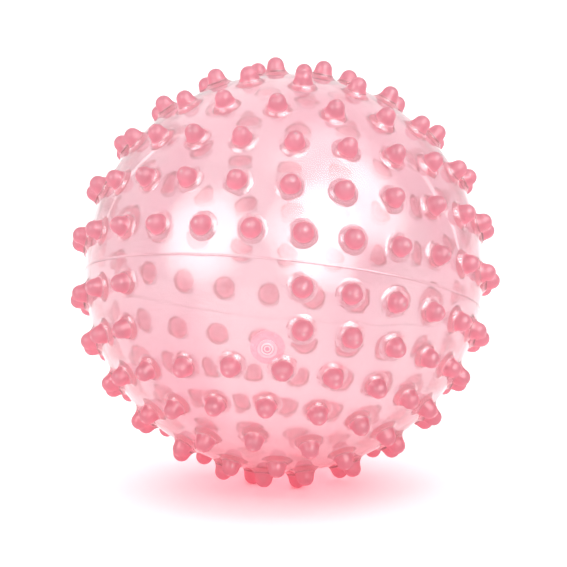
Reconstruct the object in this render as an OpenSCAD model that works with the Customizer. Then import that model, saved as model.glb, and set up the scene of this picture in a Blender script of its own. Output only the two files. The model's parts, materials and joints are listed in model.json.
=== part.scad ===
// Sensory ball: a soft inflatable ball covered in blunt bell-shaped knobs.
// It lies on three knob tips, and a small plug pulls out of a seat bonded in its skin.

/* [Ball] */
// Diameter over the knob tips
ball_d = 200; // [160:1:300]
// Thickness of the moulded skin
skin_wall = 1.2; // [1:0.1:2.5]
// Latitude of the mould parting line, in degrees
seam_lat = -5.5; // [-8:0.1:8]
// Width of the raised parting line
seam_w = 1.2; // [0.8:0.1:2]
// Height of the parting line above the skin
seam_h = 0.25; // [0.1:0.05:0.4]

/* [Knobs] */
// Height of a knob above the skin
knob_h = 7.8; // [6:0.1:10]
// Diameter of the round tip
tip_d = 7.8; // [6:0.1:9]
// Draft of the sides under the tip, in degrees
draft = 9; // [4:1:14]
// Radius of the hollow curve that flares the sides into the skin
flare_r = 4.5; // [3:0.1:5.5]
// Depth under the skin where the flare would level out, which leaves a faint edge round it
flare_sink = 0.15; // [0.05:0.05:0.3]

/* [Bare patch] */
// Number of rows under the parting line that the patch crosses
bare_rows = 2; // [0:1:2]
// Number of knobs left out of each of those rows
bare_knobs = 3; // [0:1:6]

/* [Valve] */
// Latitude of the valve, in degrees
valve_lat = -30.2; // [-31:0.1:-29]
// Longitude of the valve, in degrees
valve_lon = -2.9; // [-5:0.1:-2]
// Diameter of the seat face that shows in the skin
seat_d = 8.6; // [7.8:0.1:9]
// Height of the seat face above the skin
seat_h = 0.3; // [0.1:0.1:0.6]
// Diameter of the flange bonded under the skin
flange_d = 15; // [12:0.5:20]
// Thickness of the flange
flange_t = 1.4; // [1:0.1:2.5]
// Outer diameter of the tube below the flange
tube_d = 6.4; // [5.4:0.1:8]
// Length of the tube below the flange
tube_len = 6; // [4:0.5:12]
// Diameter of the plug stem
stem_d = 3.2; // [2.4:0.1:3.6]
// Length of the plug stem
stem_len = 7.5; // [5:0.5:12]
// Diameter of the plug head
head_d = 5.6; // [5:0.1:6.2]
// Thickness of the plug head
head_t = 1.1; // [0.9:0.1:1.5]
// Height that the plug head stands above the seat face
head_rise = 0.2; // [0.1:0.05:0.4]
// Diameter of the sunk face inside the plug head's rim
face_d = 3.8; // [3:0.1:4]
// Depth of the sunk face
face_h = 0.3; // [0.1:0.05:0.4]
// Diameter of the dimple in the middle of the sunk face
dimple_d = 1.9; // [1:0.1:2.2]
// Depth of the dimple
dimple_h = 0.5; // [0.3:0.1:0.7]

/* [Fits] */
// Radial clearance of the plug stem in the seat
stem_fit = 0.05; // [0.02:0.01:0.1]
// Radial gap round the plug head
head_fit = 0.15; // [0.1:0.01:0.25]
// Gap under the plug head
head_gap = 0.05; // [0.02:0.01:0.1]
// Glue line between the seat and the skin
glue_gap = 0.05; // [0.02:0.01:0.1]
// Bevel of the plug's edges
bevel = 0.3; // [0.1:0.05:0.4]

/* [Hidden] */
$fn = 48;
ball_fn = 240;
overrun = 1;

skin_r = ball_d / 2 - knob_h;
inner_r = skin_r - skin_wall;
tip_r = tip_d / 2;
tip_lift = skin_r + knob_h - tip_r;

// Depth that a knob is rooted in the skin, as a share of the skin's thickness
root_share = 0.6;
root = root_share * skin_wall;

// Places of the knob rows between the parting line and a pole
row_shares = [0.08, 0.215, 0.355, 0.50, 0.66, 0.83];
// Number of knobs in each row, above and below the parting line
upper_counts = [26, 24, 22, 17, 12, 7];
lower_counts = [26, 24, 21, 17, 11, 6];
// Place of the first knob of each row, in shares of that row's spacing
upper_start_shares = [0.29, 0.96, 0.96, 0.60, 0.00, 0.38];
lower_start_shares = [0.38, 0.46, 0.15, 0.91, 0.77, 0.22];
// Share by which the rows bow towards the poles at the two sides of the ball
bow_share = 0.13;
// Longitude where the rows bow least, in degrees
bow_lon = 1.5;
// Row and number of the three lower knobs that the ball lies on
rest_knobs = [[4, 4], [5, 2], [5, 3]];

function row_lon(side, row, k) = side > 0
    ? (k + upper_start_shares[row]) * 360 / upper_counts[row]
    : (k + lower_start_shares[row]) * 360 / lower_counts[row];

// The bow fades from the parting line to the poles, where the rows are true circles
function row_lat(side, row, lon) =
    seam_lat + (side * 90 - seam_lat) * row_shares[row]
    * (1 + bow_share * (1 - pow(row_shares[row], 2)) * pow(sin(lon - bow_lon), 2));

// Knobs that a row keeps: the bare patch takes the last ones of the rows under the line
function row_knobs(side, row) = side > 0
    ? upper_counts[row]
    : lower_counts[row] - (row < bare_rows ? bare_knobs : 0);

// Latitude and longitude of every knob: one on each pole, and the rows between
knob_places = concat(
    [[90, 0], [-90, 0]],
    [
        for (side = [1, -1])
        for (row = [0 : len(row_shares) - 1])
        for (k = [0 : row_knobs(side, row) - 1])
        let (lon = row_lon(side, row, k))
        [row_lat(side, row, lon), lon]
    ]);

function direction(lat, lon) = [cos(lat) * sin(lon), -cos(lat) * cos(lon), sin(lat)];

// The ball lies along the normal of the plane through its three lowest knob tips
rest_tips = [
    for (k = rest_knobs)
    let (lon = row_lon(-1, k[0], k[1]))
    direction(row_lat(-1, k[0], lon), lon)
];
rest_cross = cross(rest_tips[1] - rest_tips[0], rest_tips[2] - rest_tips[0]);
rest_dir = rest_cross / norm(rest_cross) * sign(rest_cross * rest_tips[0]);
rest_lat = asin(rest_dir[2]);
rest_lon = atan2(rest_dir[0], -rest_dir[1]);

// Leans the ball from its poles onto the three knobs that it lies on
module at_rest() {
    rotate([0, 0, rest_lon])
        rotate([90 + rest_lat, 0, 0])
        rotate([0, 0, -rest_lon])
        children();
}

// Carries what stands at the upper pole to a latitude and longitude
module placed(lat, lon) {
    rotate([0, 0, lon]) rotate([90 - lat, 0, 0]) children();
}

// Half section of a knob: a round tip, drafted sides and a hollow flare. The flare touches
// the sides, whose outward normal is side_dir, and a ball a little smaller than the skin.
module knob_section() {
    side_dir = [cos(draft), sin(draft)];
    down_dir = [sin(draft), -cos(draft)];
    level_r = skin_r - flare_sink;
    flare_reach = level_r + flare_r;
    flare_out = tip_r + flare_r + tip_lift * sin(draft);
    flare_up = sqrt(pow(flare_reach, 2) - pow(flare_out, 2));
    flare_mid = flare_out * side_dir - flare_up * down_dir;
    flare_foot = flare_mid * level_r / flare_reach;
    intersection() {
        translate([0, skin_r - root]) square([flare_mid[0], root + knob_h]);
        union() {
            translate([0, tip_lift]) circle(r = tip_r);
            difference() {
                polygon([
                    [0, 0],
                    [0, tip_lift],
                    [0, tip_lift] + tip_r * side_dir,
                    flare_mid - flare_r * side_dir,
                    flare_mid,
                    flare_foot
                ]);
                translate(flare_mid) circle(r = flare_r);
            }
        }
    }
}

module knob() {
    rotate_extrude() knob_section();
}

// Raised line where the two halves of the mould met
module parting_line() {
    seam_curve_r = (pow(seam_w / 2, 2) + pow(seam_h, 2)) / (2 * seam_h);
    rotate_extrude($fn = ball_fn)
        rotate([0, 0, seam_lat])
        translate([skin_r + seam_h - seam_curve_r, 0])
        circle(r = seam_curve_r);
}

// One hollow moulding: the skin, its knobs and its parting line
module ball_skin() {
    color("#f7a8b4")
        at_rest()
        difference() {
            union() {
                sphere(r = skin_r, $fn = ball_fn);
                parting_line();
                for (place = knob_places) placed(place[0], place[1]) knob();
            }
            sphere(r = inner_r, $fn = ball_fn);
            placed(valve_lat, valve_lon)
                translate([0, 0, inner_r - overrun])
                cylinder(d = seat_d, h = skin_wall + 2 * overrun);
        }
}

// Heights of the valve along its own axis, from the centre of the ball
seat_top = skin_r + seat_h;
plug_top = seat_top + head_rise;
head_base = plug_top - head_t;
recess_floor = head_base - head_gap;
flange_low = sqrt(pow(inner_r, 2) - pow(flange_d / 2, 2)) - flange_t;

// Soft bush bonded in the skin, with a recess for the plug's head
module valve_seat() {
    color("#fbdfe3")
        at_rest()
        placed(valve_lat, valve_lon)
        difference() {
            union() {
                translate([0, 0, recess_floor - flange_t])
                    cylinder(d = seat_d - 2 * glue_gap, h = seat_top - recess_floor + flange_t);
                intersection() {
                    translate([0, 0, flange_low]) cylinder(d = flange_d, h = inner_r - flange_low);
                    sphere(r = inner_r - glue_gap, $fn = ball_fn);
                }
                translate([0, 0, flange_low - tube_len]) cylinder(d = tube_d, h = tube_len + flange_t);
            }
            translate([0, 0, recess_floor])
                cylinder(d = head_d + 2 * head_fit, h = head_t + head_gap + overrun);
            translate([0, 0, flange_low - tube_len - overrun])
                cylinder(d = stem_d + 2 * stem_fit, h = tube_len + flange_t + skin_wall + 2 * overrun);
        }
}

// Push-in plug: a flat head with a rim and a dimple, and a stem with a bevelled end
module valve_plug() {
    color("#ffe9ec")
        at_rest()
        placed(valve_lat, valve_lon)
        difference() {
            union() {
                translate([0, 0, head_base]) cylinder(d = head_d, h = head_t - bevel);
                translate([0, 0, plug_top - bevel])
                    cylinder(d1 = head_d, d2 = head_d - 2 * bevel, h = bevel);
                translate([0, 0, head_base - stem_len + bevel])
                    cylinder(d = stem_d, h = stem_len - bevel);
                translate([0, 0, head_base - stem_len])
                    cylinder(d1 = stem_d - 2 * bevel, d2 = stem_d, h = bevel);
            }
            translate([0, 0, plug_top - face_h]) cylinder(d = face_d, h = face_h + overrun);
            translate([0, 0, plug_top - face_h - dimple_h])
                cylinder(d = dimple_d, h = dimple_h + overrun);
        }
}

ball_skin();
valve_seat();
valve_plug();
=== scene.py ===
"""Soft vinyl sensory ball on a white studio floor.

The ball is one hollow moulding of clear tinted vinyl, with a seat bonded in its skin and a plug in
that seat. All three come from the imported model, and this script gives them their finishes, the
floor that they lie on, the lamps and the camera.
"""

import json
import logging
import math
from dataclasses import dataclass, field, replace
from enum import Enum

import bpy
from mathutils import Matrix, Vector

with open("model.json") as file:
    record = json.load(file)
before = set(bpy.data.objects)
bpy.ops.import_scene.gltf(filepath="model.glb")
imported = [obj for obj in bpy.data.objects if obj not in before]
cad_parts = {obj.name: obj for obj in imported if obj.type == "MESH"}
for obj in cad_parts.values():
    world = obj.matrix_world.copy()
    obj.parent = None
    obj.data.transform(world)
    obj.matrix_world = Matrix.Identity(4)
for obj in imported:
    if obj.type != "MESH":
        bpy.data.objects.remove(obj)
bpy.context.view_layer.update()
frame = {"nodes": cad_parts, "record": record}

PICTURE_SIDE = 567
MM = 0.001
UP = Vector((0, 0, 1))
VINYL_IOR = 1.5
Socket = bpy.types.NodeSocket

log = logging.getLogger("sensory_ball")


class Ray(Enum):
    """Kinds of ray that a white backdrop answers with plain white."""

    CAMERA = "Is Camera Ray"
    GLOSSY = "Is Glossy Ray"
    TRANSMISSION = "Is Transmission Ray"


def deselect() -> None:
    """Clears the selection, so that an operator acts on nothing that it shouldn't."""
    bpy.ops.object.select_all(action="DESELECT")


def heading(azimuth: float, elevation: float) -> Vector:
    """Gives a direction seen from the ball.

    Args:
        azimuth: Angle in degrees, from -Y towards +X.
        elevation: Height angle in degrees.

    Returns:
        The unit vector.
    """
    a, e = math.radians(azimuth), math.radians(elevation)
    return Vector((math.sin(a) * math.cos(e), -math.cos(a) * math.cos(e), math.sin(e)))


def add_object(name: str, data: bpy.types.ID) -> bpy.types.Object:
    """Adds an object to the scene.

    Args:
        name: Name of the object.
        data: Its lamp or camera.

    Returns:
        The object.
    """
    holder = bpy.data.objects.new(name, data)
    bpy.context.scene.collection.objects.link(holder)
    return holder


def dress_piece(node: str, vinyl: bpy.types.Material) -> bpy.types.Object:
    """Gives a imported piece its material.

    Args:
        node: Name of the piece.
        vinyl: The material.

    Returns:
        The piece's object.
    """
    piece = frame["nodes"][node]
    for slot in piece.material_slots:
        slot.material = vinyl
    return piece


@dataclass(frozen=True)
class Pattern:
    """A soft noise that changes slowly over a piece.

    Args:
        scale: Its scale, per metre.
        detail: Its detail.
        stretch: How much longer its spots are upwards than sideways.
        low: Level of the noise where its effect starts.
        high: Level of the noise where its effect is full.
    """

    scale: float
    detail: float
    stretch: float = 1.0
    low: float = 0.0
    high: float = 1.0


CLOUDS = Pattern(scale=14, detail=2, stretch=2.5, low=0.42, high=0.62)
RIPPLES = Pattern(scale=38, detail=2)
HANDLING = Pattern(scale=90, detail=3, low=0.35, high=0.65)


@dataclass
class NodeTree:
    """A short way to write a material's, a lamp's or a world's nodes.

    Args:
        tree: The node tree that new nodes go into.
    """

    tree: bpy.types.NodeTree

    def add(self, kind: str, **values: object) -> bpy.types.Node:
        """Adds a node.

        Args:
            kind: Blender's name of the node type.
            values: Properties of the node.

        Returns:
            The new node.
        """
        node = self.tree.nodes.new(kind)
        for name, value in values.items():
            setattr(node, name, value)
        return node

    def join(self, source: Socket, target: Socket) -> None:
        """Links one socket to another.

        Args:
            source: The output that is read.
            target: The input that it feeds.
        """
        self.tree.links.new(source, target)

    def feed(self, value: object, target: Socket) -> None:
        """Gives an input its value.

        Args:
            value: A socket, a colour as three numbers, or a number.
            target: The input.
        """
        if isinstance(value, Socket):
            self.join(value, target)
        elif isinstance(value, tuple):
            target.default_value = (*value, 1)
        else:
            target.default_value = value

    def math(self, operation: str, first: object, second: object = 0.0) -> Socket:
        """Adds a Math node.

        Args:
            operation: The node's operation.
            first: A socket or a number.
            second: A socket or a number.

        Returns:
            The node's result.
        """
        node = self.add("ShaderNodeMath", operation=operation)
        for value, target in zip((first, second), node.inputs):
            self.feed(value, target)
        return node.outputs[0]

    def ramp(
        self, value: Socket, low: float, high: float, to_low: float = 0.0, to_high: float = 1.0
    ) -> Socket:
        """Maps a value smoothly from one range to another.

        Args:
            value: The socket that is mapped.
            low: Value where the result is to_low.
            high: Value where the result is to_high.
            to_low: Result at low.
            to_high: Result at high.

        Returns:
            The mapped value.
        """
        node = self.add("ShaderNodeMapRange", interpolation_type="SMOOTHSTEP")
        self.join(value, node.inputs["Value"])
        for name, number in (
            ("From Min", low), ("From Max", high), ("To Min", to_low), ("To Max", to_high)
        ):
            node.inputs[name].default_value = number
        return node.outputs["Result"]

    def blend(self, share: Socket, first: object, second: object) -> Socket:
        """Blends two colours.

        Args:
            share: Socket that gives the second colour's share.
            first: Colour at a share of 0, as a socket or three numbers.
            second: Colour at a share of 1, as a socket or three numbers.

        Returns:
            The blended colour.
        """
        node = self.add("ShaderNodeMix", data_type="RGBA")
        inputs = {socket.identifier: socket for socket in node.inputs}
        self.feed(share, inputs["Factor_Float"])
        self.feed(first, inputs["A_Color"])
        self.feed(second, inputs["B_Color"])
        return next(socket for socket in node.outputs if socket.identifier == "Result_Color")

    def length(self, vector: Socket) -> Socket:
        """Measures a vector.

        Args:
            vector: The vector's socket.

        Returns:
            Its length.
        """
        node = self.add("ShaderNodeVectorMath", operation="LENGTH")
        self.join(vector, node.inputs[0])
        return node.outputs["Value"]

    def noise(self, place: Socket, pattern: Pattern) -> Socket:
        """Adds a noise texture.

        Args:
            place: Socket that gives the place on the piece.
            pattern: Its scale, detail and stretch.

        Returns:
            The noise, round 0.5.
        """
        squeezed = self.add("ShaderNodeVectorMath", operation="MULTIPLY")
        self.join(place, squeezed.inputs[0])
        squeezed.inputs[1].default_value = (1, 1, 1 / pattern.stretch)
        node = self.add("ShaderNodeTexNoise")
        node.inputs["Scale"].default_value = pattern.scale
        node.inputs["Detail"].default_value = pattern.detail
        self.join(squeezed.outputs["Vector"], node.inputs["Vector"])
        return node.outputs["Fac"]

    def mixed(self, share: Socket, first: Socket, second: Socket) -> Socket:
        """Mixes two shaders.

        Args:
            share: Socket that gives the second shader's share.
            first: The first shader.
            second: The second shader.

        Returns:
            The mixed shader.
        """
        node = self.add("ShaderNodeMixShader")
        for source, target in zip((share, first, second), node.inputs):
            self.join(source, target)
        return node.outputs["Shader"]


@dataclass(frozen=True)
class Band:
    """A ring of another colour round the axis of a turned piece. The valve's darker rings are
    painted shade in its recesses and in the gap round the plug.

    Args:
        inner: Radius where it starts, in metres.
        outer: Radius where it ends, in metres.
        colour: Its colour.
    """

    inner: float
    outer: float
    colour: tuple


@dataclass(frozen=True)
class PaintedTipHighlight:
    """A painted highlight on every knob tip, a paler patch where the ball reaches furthest out.

    Args:
        edge: Distance from the ball's centre where the painted highlight starts, in metres.
        full: Distance from the ball's centre where it has its full colour, in metres.
        share: How much of its colour shows.
        colour: Its colour.
    """

    edge: float
    full: float
    share: float
    colour: tuple


@dataclass(frozen=True)
class TintedVinyl:
    """Clear soft vinyl that darkens with its depth and turns milky in the solid knobs.

    Args:
        thin_colour: Colour of its surface where it is a thin skin.
        cloud_colour: Colour of the faint clouds in the thin skin.
        thick_colour: Colour of its surface in the solid knobs.
        thin_radius: Distance from the ball's centre where the thin colour ends, in metres.
        thick_radius: Distance from the ball's centre where the thick colour starts, in metres.
        thin_clearness: Share of light that passes the thin skin without scattering.
        thick_clearness: The same in the solid knobs.
        roughness: Roughness of its gloss.
        thick_roughness: The same in the solid knobs.
        thin_glow: Share of the light behind the thin skin that it scatters forwards.
        thick_glow: The same in the solid knobs.
        tint: Colour that the depth of the vinyl leaves in light.
        density: Strength of that tint, per metre.
        lamp_tint: Colour of the light that lamps send straight through each of its faces.
        ripple: Height of the slow unevenness of the moulded surface, in metres.
        smooth_radius: Distance from the ball's centre where the skin's gloss ends, in metres.
        matt_radius: Distance from the ball's centre where the knobs' gloss starts, in metres.
        handled: Least and greatest share of the roughness, which handling has left.
        colour_and_shade_bands: Rings of other colours round the valve's axis: a paler disc, and
            darker rings that are painted shade in its recesses and gap.
        painted_tip_highlights: Paler and white patches painted on the tips of the knobs as
            highlights.
    """

    thin_colour: tuple
    cloud_colour: tuple
    thick_colour: tuple
    thin_radius: float
    thick_radius: float
    thin_clearness: float
    thick_clearness: float
    roughness: float
    thick_roughness: float
    thin_glow: float
    thick_glow: float
    tint: tuple
    density: float
    lamp_tint: tuple
    ripple: float
    smooth_radius: float = 92.5 * MM
    matt_radius: float = 93.2 * MM
    handled: tuple = (0.8, 1.25)
    colour_and_shade_bands: tuple = ()
    painted_tip_highlights: tuple = ()

    def make(self, name: str, axis: Vector = UP) -> bpy.types.Material:
        """Builds the material.

        Args:
            name: Name of the material.
            axis: Direction of the axis through the ball's centre that its bands go round.

        Returns:
            The material.
        """
        material = bpy.data.materials.new(name)
        material.use_nodes = True
        nodes = NodeTree(material.node_tree)
        shader = material.node_tree.nodes["Principled BSDF"]
        output = material.node_tree.nodes["Material Output"]
        place = nodes.add("ShaderNodeTexCoord").outputs["Object"]
        radius = nodes.length(place)
        depth = nodes.ramp(radius, self.thin_radius, self.thick_radius)
        clouds = nodes.ramp(nodes.noise(place, CLOUDS), CLOUDS.low, CLOUDS.high)
        thin = nodes.blend(clouds, self.thin_colour, self.cloud_colour)
        colour = self.banded(nodes, place, axis, nodes.blend(depth, thin, self.thick_colour))
        # Painted highlights: paler and white patches laid over the colour on the knob tips.
        for tip_highlight in self.painted_tip_highlights:
            glint_share = nodes.ramp(radius, tip_highlight.edge, tip_highlight.full, 0, tip_highlight.share)
            colour = nodes.blend(glint_share, colour, tip_highlight.colour)
        nodes.join(colour, shader.inputs["Base Color"])
        nodes.join(
            nodes.ramp(depth, 0, 1, self.thin_clearness, self.thick_clearness),
            shader.inputs["Transmission Weight"],
        )
        shader.inputs["IOR"].default_value = VINYL_IOR
        self.add_unevenness(nodes, place, radius, shader)
        milk = nodes.add("ShaderNodeBsdfTranslucent")
        nodes.join(colour, milk.inputs["Color"])
        vinyl = nodes.mixed(
            nodes.ramp(depth, 0, 1, self.thin_glow, self.thick_glow),
            shader.outputs["BSDF"], milk.outputs["BSDF"],
        )
        self.let_lamps_through(nodes, vinyl, output)
        self.add_tint(nodes, output)
        return material

    def banded(self, nodes: NodeTree, place: Socket, axis: Vector, colour: Socket) -> Socket:
        """Lays the bands over a colour, painted shade among them.

        Args:
            nodes: The material's nodes.
            place: Socket that gives the place on the piece.
            axis: Direction of the axis that the bands go round.
            colour: The colour outside them.

        Returns:
            The colour with its bands.
        """
        across = nodes.add("ShaderNodeVectorMath", operation="CROSS_PRODUCT")
        nodes.join(place, across.inputs[0])
        across.inputs[1].default_value = axis
        reach = nodes.length(across.outputs["Vector"])
        for band in self.colour_and_shade_bands:
            from_inner = nodes.math("GREATER_THAN", reach, band.inner)
            to_outer = nodes.math("LESS_THAN", reach, band.outer)
            inside = nodes.math("MULTIPLY", from_inner, to_outer)
            colour = nodes.blend(inside, colour, band.colour)
        return colour

    def let_lamps_through(
        self, nodes: NodeTree, vinyl: Socket, output: bpy.types.Node
    ) -> None:
        """Lets the lamps shine through, so that the ball's shadow has its colour.

        Args:
            nodes: The material's nodes.
            vinyl: Socket of the shader that all other light meets.
            output: The material's output node.
        """
        path = nodes.add("ShaderNodeLightPath")
        film = nodes.add("ShaderNodeBsdfTransparent")
        film.inputs["Color"].default_value = (*self.lamp_tint, 1)
        nodes.join(
            nodes.mixed(path.outputs["Is Shadow Ray"], vinyl, film.outputs["BSDF"]),
            output.inputs["Surface"],
        )

    def add_unevenness(
        self, nodes: NodeTree, place: Socket, radius: Socket, shader: bpy.types.Node
    ) -> None:
        """Adds the slow ripple of the moulded surface and a little change in its gloss.

        Args:
            nodes: The material's nodes.
            place: Socket that gives the place on the piece.
            radius: Socket that gives the distance from the ball's centre.
            shader: The material's shader.
        """
        bump = nodes.add("ShaderNodeBump")
        bump.inputs["Strength"].default_value = 1.0
        bump.inputs["Distance"].default_value = self.ripple
        nodes.join(nodes.noise(place, RIPPLES), bump.inputs["Height"])
        nodes.join(bump.outputs["Normal"], shader.inputs["Normal"])
        handled = nodes.ramp(
            nodes.noise(place, HANDLING), HANDLING.low, HANDLING.high, *self.handled
        )
        gloss = nodes.ramp(
            radius, self.smooth_radius, self.matt_radius, self.roughness, self.thick_roughness
        )
        nodes.join(nodes.math("MULTIPLY", gloss, handled), shader.inputs["Roughness"])

    def add_tint(self, nodes: NodeTree, output: bpy.types.Node) -> None:
        """Adds the tint that grows with the depth of the vinyl.

        Args:
            nodes: The material's nodes.
            output: The material's output node.
        """
        inside = nodes.add("ShaderNodeVolumeAbsorption")
        inside.inputs["Color"].default_value = (*self.tint, 1)
        inside.inputs["Density"].default_value = self.density
        nodes.join(inside.outputs["Volume"], output.inputs["Volume"])


@dataclass
class BallSkin:
    """The hollow moulding: skin, knobs and parting line in one piece."""

    node: str = "ball_skin"
    finish: TintedVinyl = TintedVinyl(
        thin_colour=(0.865, 0.82, 0.838),
        cloud_colour=(0.845, 0.72, 0.758),
        thick_colour=(0.85, 0.545, 0.62),
        thin_radius=93.4 * MM,
        thick_radius=94.4 * MM,
        thin_clearness=0.84,
        thick_clearness=0.28,
        roughness=0.045,
        thick_roughness=0.20,
        thin_glow=0.04,
        thick_glow=0.60,
        tint=(0.84, 0.20, 0.33),
        density=130.0,
        lamp_tint=(0.955, 0.72, 0.73),
        ripple=0.25 * MM,
        # Painted highlights on the knob tips: a pale pink patch with a white dot in its middle.
        painted_tip_highlights=(
            PaintedTipHighlight(99.70 * MM, 99.80 * MM, 0.45, (0.96, 0.78, 0.83)),
            PaintedTipHighlight(99.92 * MM, 99.96 * MM, 0.75, (1.0, 0.97, 0.98)),
        ),
    )

    def dress(self) -> bpy.types.Object:
        """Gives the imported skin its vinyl.

        Returns:
            The skin's object.
        """
        return dress_piece(self.node, self.finish.make("tinted_vinyl"))


VALVE_VINYL = TintedVinyl(
    thin_colour=(0.98, 0.82, 0.90),
    cloud_colour=(0.98, 0.80, 0.88),
    thick_colour=(0.98, 0.82, 0.90),
    thin_radius=92.6 * MM,
    thick_radius=95.0 * MM,
    thin_clearness=0.6,
    thick_clearness=0.6,
    roughness=0.12,
    thick_roughness=0.12,
    thin_glow=0.3,
    thick_glow=0.3,
    tint=(0.97, 0.72, 0.80),
    density=60.0,
    lamp_tint=(1.0, 0.86, 0.88),
    ripple=0.05 * MM,
)


@dataclass
class Valve:
    """The seat bonded in the skin, and the plug that a hand pulls out of it."""

    seat: str = "valve_seat"
    plug: str = "valve_plug"
    joint: str = "plug_pull"
    seat_finish: TintedVinyl = replace(
        VALVE_VINYL,
        colour_and_shade_bands=(
            Band(0.0, 4.3 * MM, (1.0, 0.90, 0.93)),
            # Painted shade: a dark ring in the gap round the plug's head.
            Band(2.75 * MM, 3.15 * MM, (0.86, 0.56, 0.64)),
        ),
    )
    plug_finish: TintedVinyl = replace(
        VALVE_VINYL,
        thin_colour=(1.0, 0.97, 0.98),
        cloud_colour=(1.0, 0.96, 0.97),
        thick_colour=(1.0, 0.97, 0.98),
        thin_clearness=0.25,
        thick_clearness=0.25,
        thin_glow=0.2,
        thick_glow=0.2,
        colour_and_shade_bands=(
            # Painted shade: a darker dimple in the middle, and a dark ring at the edge of the sunk
            # face.
            Band(0.0, 0.98 * MM, (0.90, 0.50, 0.62)),
            Band(1.6 * MM, 2.0 * MM, (0.72, 0.36, 0.46)),
        ),
    )

    def dress(self) -> list:
        """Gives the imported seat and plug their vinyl.

        Returns:
            The two objects.
        """
        axis = self.axis()
        finishes = {self.seat: self.seat_finish, self.plug: self.plug_finish}
        return [
            dress_piece(name, finish.make(f"{name}_vinyl", axis))
            for name, finish in finishes.items()
        ]

    def axis(self) -> Vector:
        """Finds the direction in which the plug pulls out, which is the valve's own axis.

        Returns:
            The direction, of length 1.
        """
        joints = frame["record"]["behaviour"]["joints"]
        return next(Vector(joint["axis"]) for joint in joints if joint["name"] == self.joint)


@dataclass(frozen=True)
class Softbox:
    """A rectangular lamp that only the gloss shows, and that fades towards its edges.

    Args:
        name: Name of the lamp.
        azimuth: Its direction from the ball in degrees, from -Y towards +X.
        elevation: Its height angle in degrees.
        distance: Its distance from the ball's centre, in metres.
        width: Its width, in metres.
        height: Its height, in metres.
        power: Its power in watts.
        fade_start: Where its glow starts to fade, in shares of its width from its middle.
        fade_end: Where its glow has faded away.
    """

    name: str
    azimuth: float
    elevation: float
    distance: float
    width: float
    height: float
    power: float
    fade_start: float = 0.1
    fade_end: float = 0.5

    def hang(self) -> bpy.types.Object:
        """Adds the lamp to the scene.

        Returns:
            The lamp's object.
        """
        lamp = bpy.data.lights.new(self.name, "AREA")
        lamp.shape = "RECTANGLE"
        lamp.size = self.width
        lamp.size_y = self.height
        lamp.energy = self.power
        self.fade(lamp)
        holder = add_object(self.name, lamp)
        holder.visible_diffuse = False
        holder.visible_transmission = False
        way = heading(self.azimuth, self.elevation)
        holder.location = way * self.distance
        holder.rotation_euler = way.to_track_quat("Z", "Y").to_euler()
        return holder

    def fade(self, lamp: bpy.types.Light) -> None:
        """Makes the lamp brightest in its middle, as a diffuser does.

        Args:
            lamp: The lamp's data.
        """
        lamp.use_nodes = True
        nodes = NodeTree(lamp.node_tree)
        place = nodes.add("ShaderNodeNewGeometry").outputs["Parametric"]
        middle = nodes.add("ShaderNodeVectorMath", operation="DISTANCE")
        nodes.join(place, middle.inputs[0])
        middle.inputs[1].default_value = (0.5, 0.5, 0.0)
        nodes.join(
            nodes.ramp(middle.outputs["Value"], self.fade_start, self.fade_end, 1.0, 0.0),
            lamp.node_tree.nodes["Emission"].inputs["Strength"],
        )


@dataclass(frozen=True)
class Skylight:
    """A wide soft light from far away, which lights the whole floor alike.

    Args:
        name: Name of the lamp.
        azimuth: Its direction from the ball in degrees, from -Y towards +X.
        elevation: Its height angle in degrees.
        spread: Angle that it spans in the sky, in degrees.
        strength: Its strength in watts per square metre.
    """

    name: str
    azimuth: float
    elevation: float
    spread: float
    strength: float

    def hang(self) -> bpy.types.Object:
        """Adds the lamp to the scene.

        Returns:
            The lamp's object.
        """
        lamp = bpy.data.lights.new(self.name, "SUN")
        lamp.energy = self.strength
        lamp.angle = math.radians(self.spread)
        holder = add_object(self.name, lamp)
        holder.visible_glossy = False
        way = heading(self.azimuth, self.elevation)
        holder.rotation_euler = way.to_track_quat("Z", "Y").to_euler()
        return holder


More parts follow.
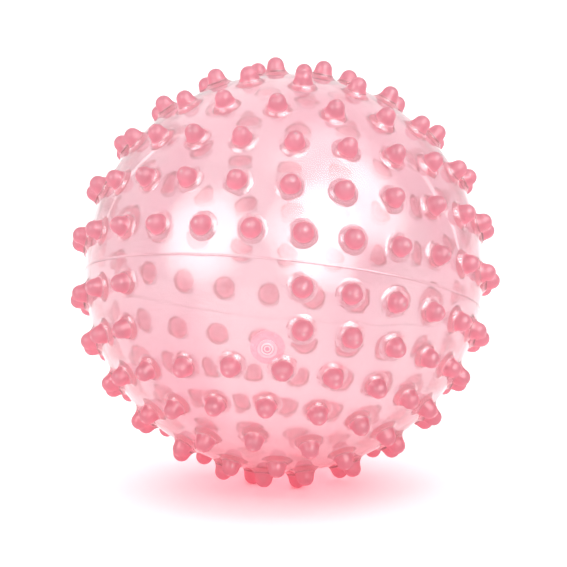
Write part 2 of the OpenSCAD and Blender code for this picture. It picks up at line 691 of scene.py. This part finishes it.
@dataclass
class Studio:
    """The white floor, the white surround and the lamps.

    Args:
        floor_z: Height of the floor, in metres.
        floor_side: Side of the floor, in metres.
        floor_grey: Grey of the floor where it lights the ball.
        floor_white: Its level where it is seen, so that only the ball's shadow shows on it.
        floor_roughness: Roughness of the floor.
        ambient: Strength of the surround on surfaces that scatter light.
        through: Its strength on them where it comes through the ball.
        lamps: The sky lamps and the softboxes.
    """

    floor_z: float = -98.643 * MM
    floor_side: float = 40.0
    floor_grey: float = 0.9
    floor_white: float = 1.24
    floor_roughness: float = 0.9
    ambient: float = 0.64
    through: float = 0.56
    lamps: list = field(
        default_factory=lambda: [
            Skylight("key_sky", 165, 66, 90, 1.7),
            Skylight("front_sky", -20, 35, 120, 0.6),
            Softbox("key_softbox", 56, 40, 1.6, 2.3, 1.9, 135),
            Softbox("middle_softbox", 20, 28, 1.6, 1.9, 2.4, 210),
            Softbox("left_softbox", -50, 25, 1.6, 2.0, 1.9, 130),
            Softbox("top_softbox", 60, 68, 1.6, 2.4, 1.8, 60),
            Softbox("left_strip", -132, 26, 1.4, 0.12, 1.7, 1.3),
            Softbox("right_strip", 118, 15, 1.4, 0.12, 1.5, 1.5),
        ]
    )

    def lay_floor(self) -> bpy.types.Object:
        """Lays the floor under the lowest knob tips.

        Returns:
            The floor's object.
        """
        deselect()
        bpy.ops.mesh.primitive_plane_add(size=self.floor_side, location=(0, 0, self.floor_z))
        floor = bpy.context.object
        floor.name = "studio_floor"
        material = bpy.data.materials.new("studio_white")
        material.use_nodes = True
        nodes = NodeTree(material.node_tree)
        shader = material.node_tree.nodes["Principled BSDF"]
        path = nodes.add("ShaderNodeLightPath")
        grey, white = (self.floor_grey,) * 3, (self.floor_white,) * 3
        nodes.join(nodes.blend(self.seen(nodes, path), grey, white), shader.inputs["Base Color"])
        shader.inputs["Roughness"].default_value = self.floor_roughness
        shader.inputs["Specular IOR Level"].default_value = 0.0
        floor.data.materials.append(material)
        return floor

    def seen(self, nodes: NodeTree, path: bpy.types.Node) -> Socket:
        """Tells what the camera sees, straight, mirrored or through the ball, from what lights it.

        Args:
            nodes: The nodes that it is added to.
            path: Their Light Path node.

        Returns:
            The socket, 1 for rays that the camera sees and 0 for the rest.
        """
        camera, glossy, clear = (path.outputs[ray.value] for ray in Ray)
        ray = nodes.math("MAXIMUM", nodes.math("MAXIMUM", camera, glossy), clear)
        direct = nodes.math("SUBTRACT", 1.0, self.scattered(nodes, path))
        return nodes.math("MULTIPLY", ray, direct)

    def scattered(self, nodes: NodeTree, path: bpy.types.Node) -> Socket:
        """Gives 1 for rays that a surface has scattered before, and 0 for the rest.

        Args:
            nodes: The nodes that it is added to.
            path: Their Light Path node.

        Returns:
            The socket with that value.
        """
        return nodes.math("MINIMUM", path.outputs["Diffuse Depth"], 1.0)

    def light_surround(self) -> None:
        """Makes the surround: plain white where it is seen, and softer where it lights."""
        world = bpy.data.worlds.new("studio_surround")
        bpy.context.scene.world = world
        world.use_nodes = True
        nodes = NodeTree(world.node_tree)
        back = world.node_tree.nodes["Background"]
        back.inputs["Color"].default_value = (1, 1, 1, 1)
        path = nodes.add("ShaderNodeLightPath")
        white = nodes.math("MULTIPLY", self.seen(nodes, path), 1.0 - self.ambient)
        clear = nodes.math(
            "SUBTRACT", path.outputs[Ray.TRANSMISSION.value], path.outputs["Is Diffuse Ray"]
        )
        inner = nodes.math(
            "MULTIPLY", nodes.math("MAXIMUM", clear, 0.0), self.scattered(nodes, path)
        )
        dimmed = nodes.math("MULTIPLY", inner, self.through - self.ambient)
        level = nodes.math("ADD", nodes.math("ADD", white, dimmed), self.ambient)
        nodes.join(level, back.inputs["Strength"])

    def build(self) -> bpy.types.Object:
        """Builds the floor, the surround and the lamps.

        Returns:
            The floor's object.
        """
        floor = self.lay_floor()
        self.light_surround()
        for lamp in self.lamps:
            lamp.hang()
        return floor


@dataclass
class Viewpoint:
    """The camera, level and a little above the ball, as in the photograph.

    Args:
        elevation: Height angle of the camera seen from the ball, in degrees.
        distance: Its distance from the ball's centre, in metres.
        focal_pixels: Focal length in pixels of the picture.
        ball_at: Where the ball's centre lies in the picture, in pixels.
        sensor: Width of the sensor, in millimetres.
        nearest: Distance where the view starts, in metres.
        furthest: Distance where the view ends, in metres.
    """

    elevation: float = 8.77
    distance: float = 1.2441
    focal_pixels: float = 2680.4
    ball_at: tuple = (284.2, 272.9)
    sensor: float = 36.0
    nearest: float = 0.02
    furthest: float = 100.0

    def place(self) -> bpy.types.Object:
        """Adds the camera and makes it the scene's own.

        Returns:
            The camera's object.
        """
        camera = bpy.data.cameras.new("view_camera")
        camera.sensor_width = self.sensor
        camera.lens = self.focal_pixels / PICTURE_SIDE * self.sensor
        middle = PICTURE_SIDE / 2
        camera.shift_x = (middle - self.ball_at[0]) / PICTURE_SIDE
        camera.shift_y = (self.ball_at[1] - middle) / PICTURE_SIDE
        camera.clip_start = self.nearest
        camera.clip_end = self.furthest
        holder = add_object("view_camera", camera)
        e = math.radians(self.elevation)
        holder.location = (0, -math.cos(e) * self.distance, math.sin(e) * self.distance)
        holder.rotation_euler = (math.pi / 2 - e, 0, 0)
        bpy.context.scene.camera = holder
        return holder


def main() -> None:
    """Builds the scene in order and reports each piece."""
    logging.basicConfig(level=logging.INFO)
    bpy.context.scene.view_settings.view_transform = "Standard"
    deselect()
    Viewpoint().place()
    log.info("camera placed")
    skin = BallSkin().dress()
    log.info("%s dressed", skin.name)
    for piece in Valve().dress():
        log.info("%s dressed", piece.name)
    floor = Studio().build()
    log.info("%s laid", floor.name)


if __name__ == "__main__":
    main()
